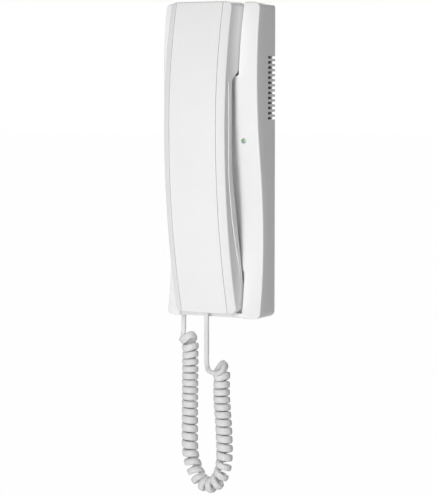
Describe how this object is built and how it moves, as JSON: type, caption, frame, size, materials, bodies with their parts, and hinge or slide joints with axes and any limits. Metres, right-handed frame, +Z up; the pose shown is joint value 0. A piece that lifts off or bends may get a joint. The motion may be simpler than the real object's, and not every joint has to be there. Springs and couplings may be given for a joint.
{
  "type": "wall handset station",
  "caption": "Slim wall handset station: wave-fronted base with ear and mouth recesses, a bowed clip-in handset, a hook plunger, a release key and a hanging curly cord.",
  "frame": {"origin": "midway between the two wall screw holes, on the wall plane", "axes": "+Z up along the base, +Y into the wall, -Y out to the person who picks the handset up, +X to the right seen from the front"},
  "size_m": [0.07, 0.0501, 0.3313],
  "materials": {
    "white_shell": "satin moulded, fine spark texture",
    "white_panel": "satin moulded",
    "plate_plastic": "moulded",
    "cord_jacket": "soft satin",
    "light_window": "clear moulded",
    "led_body": "clear",
    "dark_plastic": "moulded",
    "black_rubber": "matte",
    "board_laminate": "solder mask",
    "terminal_plastic": "moulded",
    "capacitor_can": "printed sleeve",
    "capsule_can": "drawn",
    "screw_steel": "zinc plated",
    "spring_steel": "bright",
    "ballast_iron": "bare",
    "wire_red": "insulation"
  },
  "bodies": {
    "base": {"front_cover": "white_shell", "rear_plate": "plate_plastic", "case_screw": "screw_steel", "circuit_board": "board_laminate", "board_screws": "screw_steel", "terminal_block": "terminal_plastic", "terminal_screws": "screw_steel", "ringer": "dark_plastic", "hook_switch": "dark_plastic", "hook_spring": "spring_steel", "status_led": "led_body", "light_pipe": "light_window", "key_switch": "dark_plastic", "capacitors": "capacitor_can", "board_chip": "dark_plastic", "cord_base_bushing": "cord_jacket", "base_wires": "wire_red", "cord_base_lead": "cord_jacket", "cord_curl": "cord_jacket"},
    "plunger": {"hook_plunger": "plate_plastic"},
    "key": {"release_key": "plate_plastic"},
    "handset": {"handset_front": "white_shell", "handset_panel": "white_panel", "handset_rear": "white_shell", "ear_capsule": "dark_plastic", "ear_capsule_ring": "black_rubber", "microphone": "capsule_can", "microphone_boot": "black_rubber", "ballast_weight": "ballast_iron", "handset_screws": "screw_steel", "handset_wires": "wire_red", "cord_handset_bushing": "cord_jacket", "cord_handset_lead": "cord_jacket"}
  },
  "joints": [
    {"name": "handset_lift", "type": "slide", "parent": "base", "child": "handset", "axis": [0, -1, 0], "range_m": [0, 0.05], "deforming": ["cord_curl", "cord_handset_lead"]},
    {"name": "hook_plunger_travel", "type": "slide", "parent": "base", "child": "plunger", "axis": [0, -1, 0], "range_m": [0, 0.004], "deforming": ["hook_spring"]},
    {"name": "release_key_press", "type": "slide", "parent": "base", "child": "key", "axis": [0, 1, 0], "range_m": [0, 0.0012], "stiffness_N_per_m": 900, "springref_m": -0.0004}
  ],
  "couplings": [
    {"joint": "hook_plunger_travel", "follows": "handset_lift", "ratio": 0.08}
  ]
}
